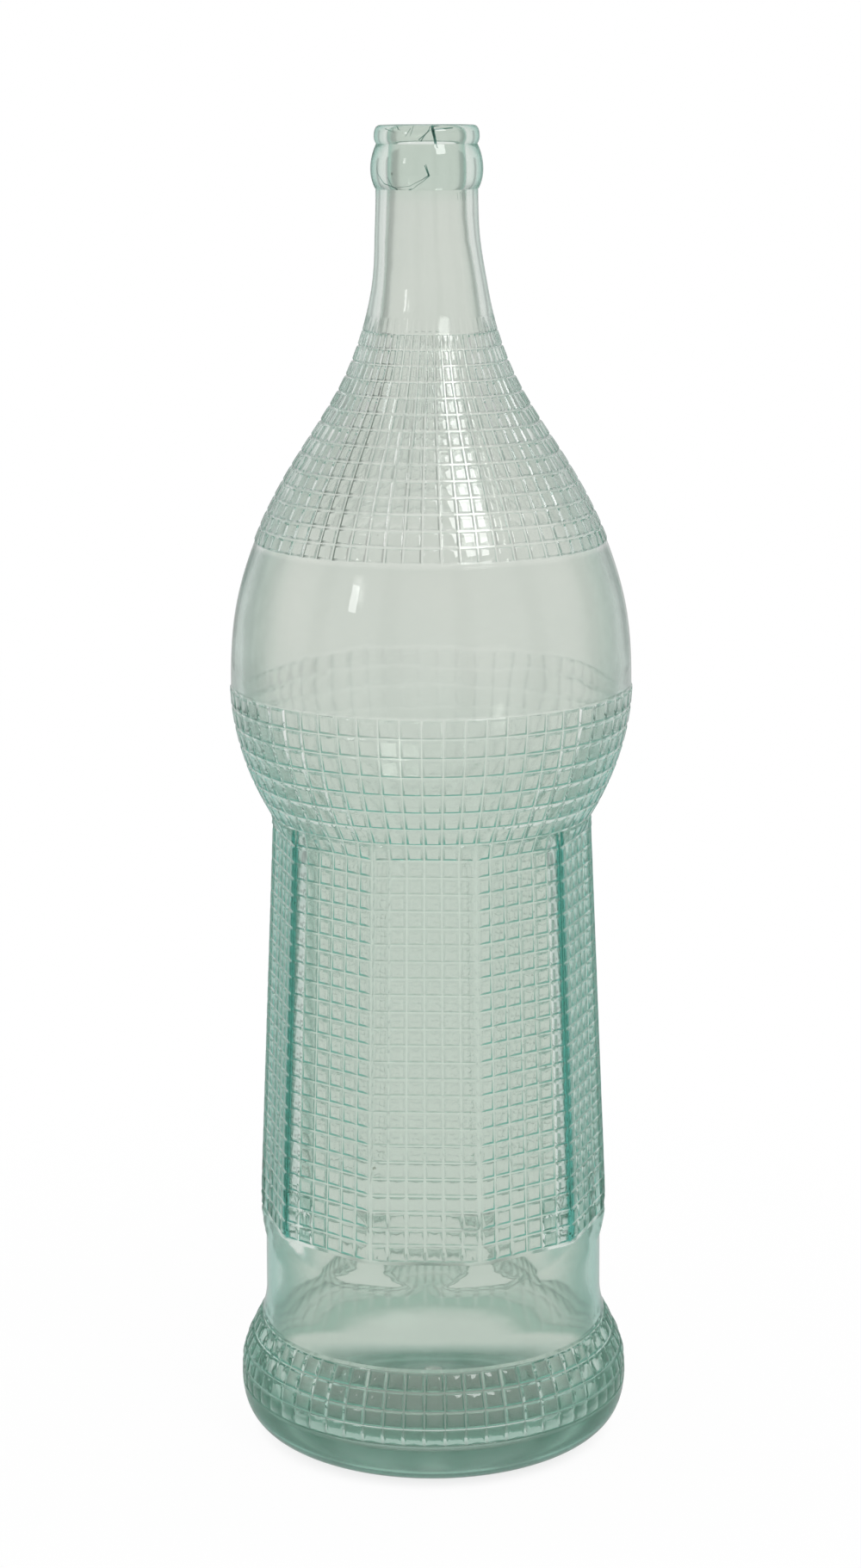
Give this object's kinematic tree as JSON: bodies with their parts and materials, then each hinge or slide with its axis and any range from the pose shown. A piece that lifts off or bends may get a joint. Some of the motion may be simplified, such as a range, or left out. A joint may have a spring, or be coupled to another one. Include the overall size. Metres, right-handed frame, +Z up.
{
  "type": "glass display bottle",
  "caption": "Tall moulded aqua glass bottle with a crown finish, waffle-patterned neck, round bulb, many-sided column, plain waist and flared foot.",
  "frame": {"origin": "on the table, at the middle of the ring that the bottle stands on", "axes": "+Z up along the bottle's axis, -Y out through the middle of the column's front flat"},
  "size_m": [0.1028, 0.1028, 0.337],
  "materials": {
    "pale_aqua_glass": "moulded soda glass, clear with a pale aqua tint, glossy"
  },
  "bodies": {
    "root": {"glass_bottle": "pale_aqua_glass"}
  },
  "joints": []
}
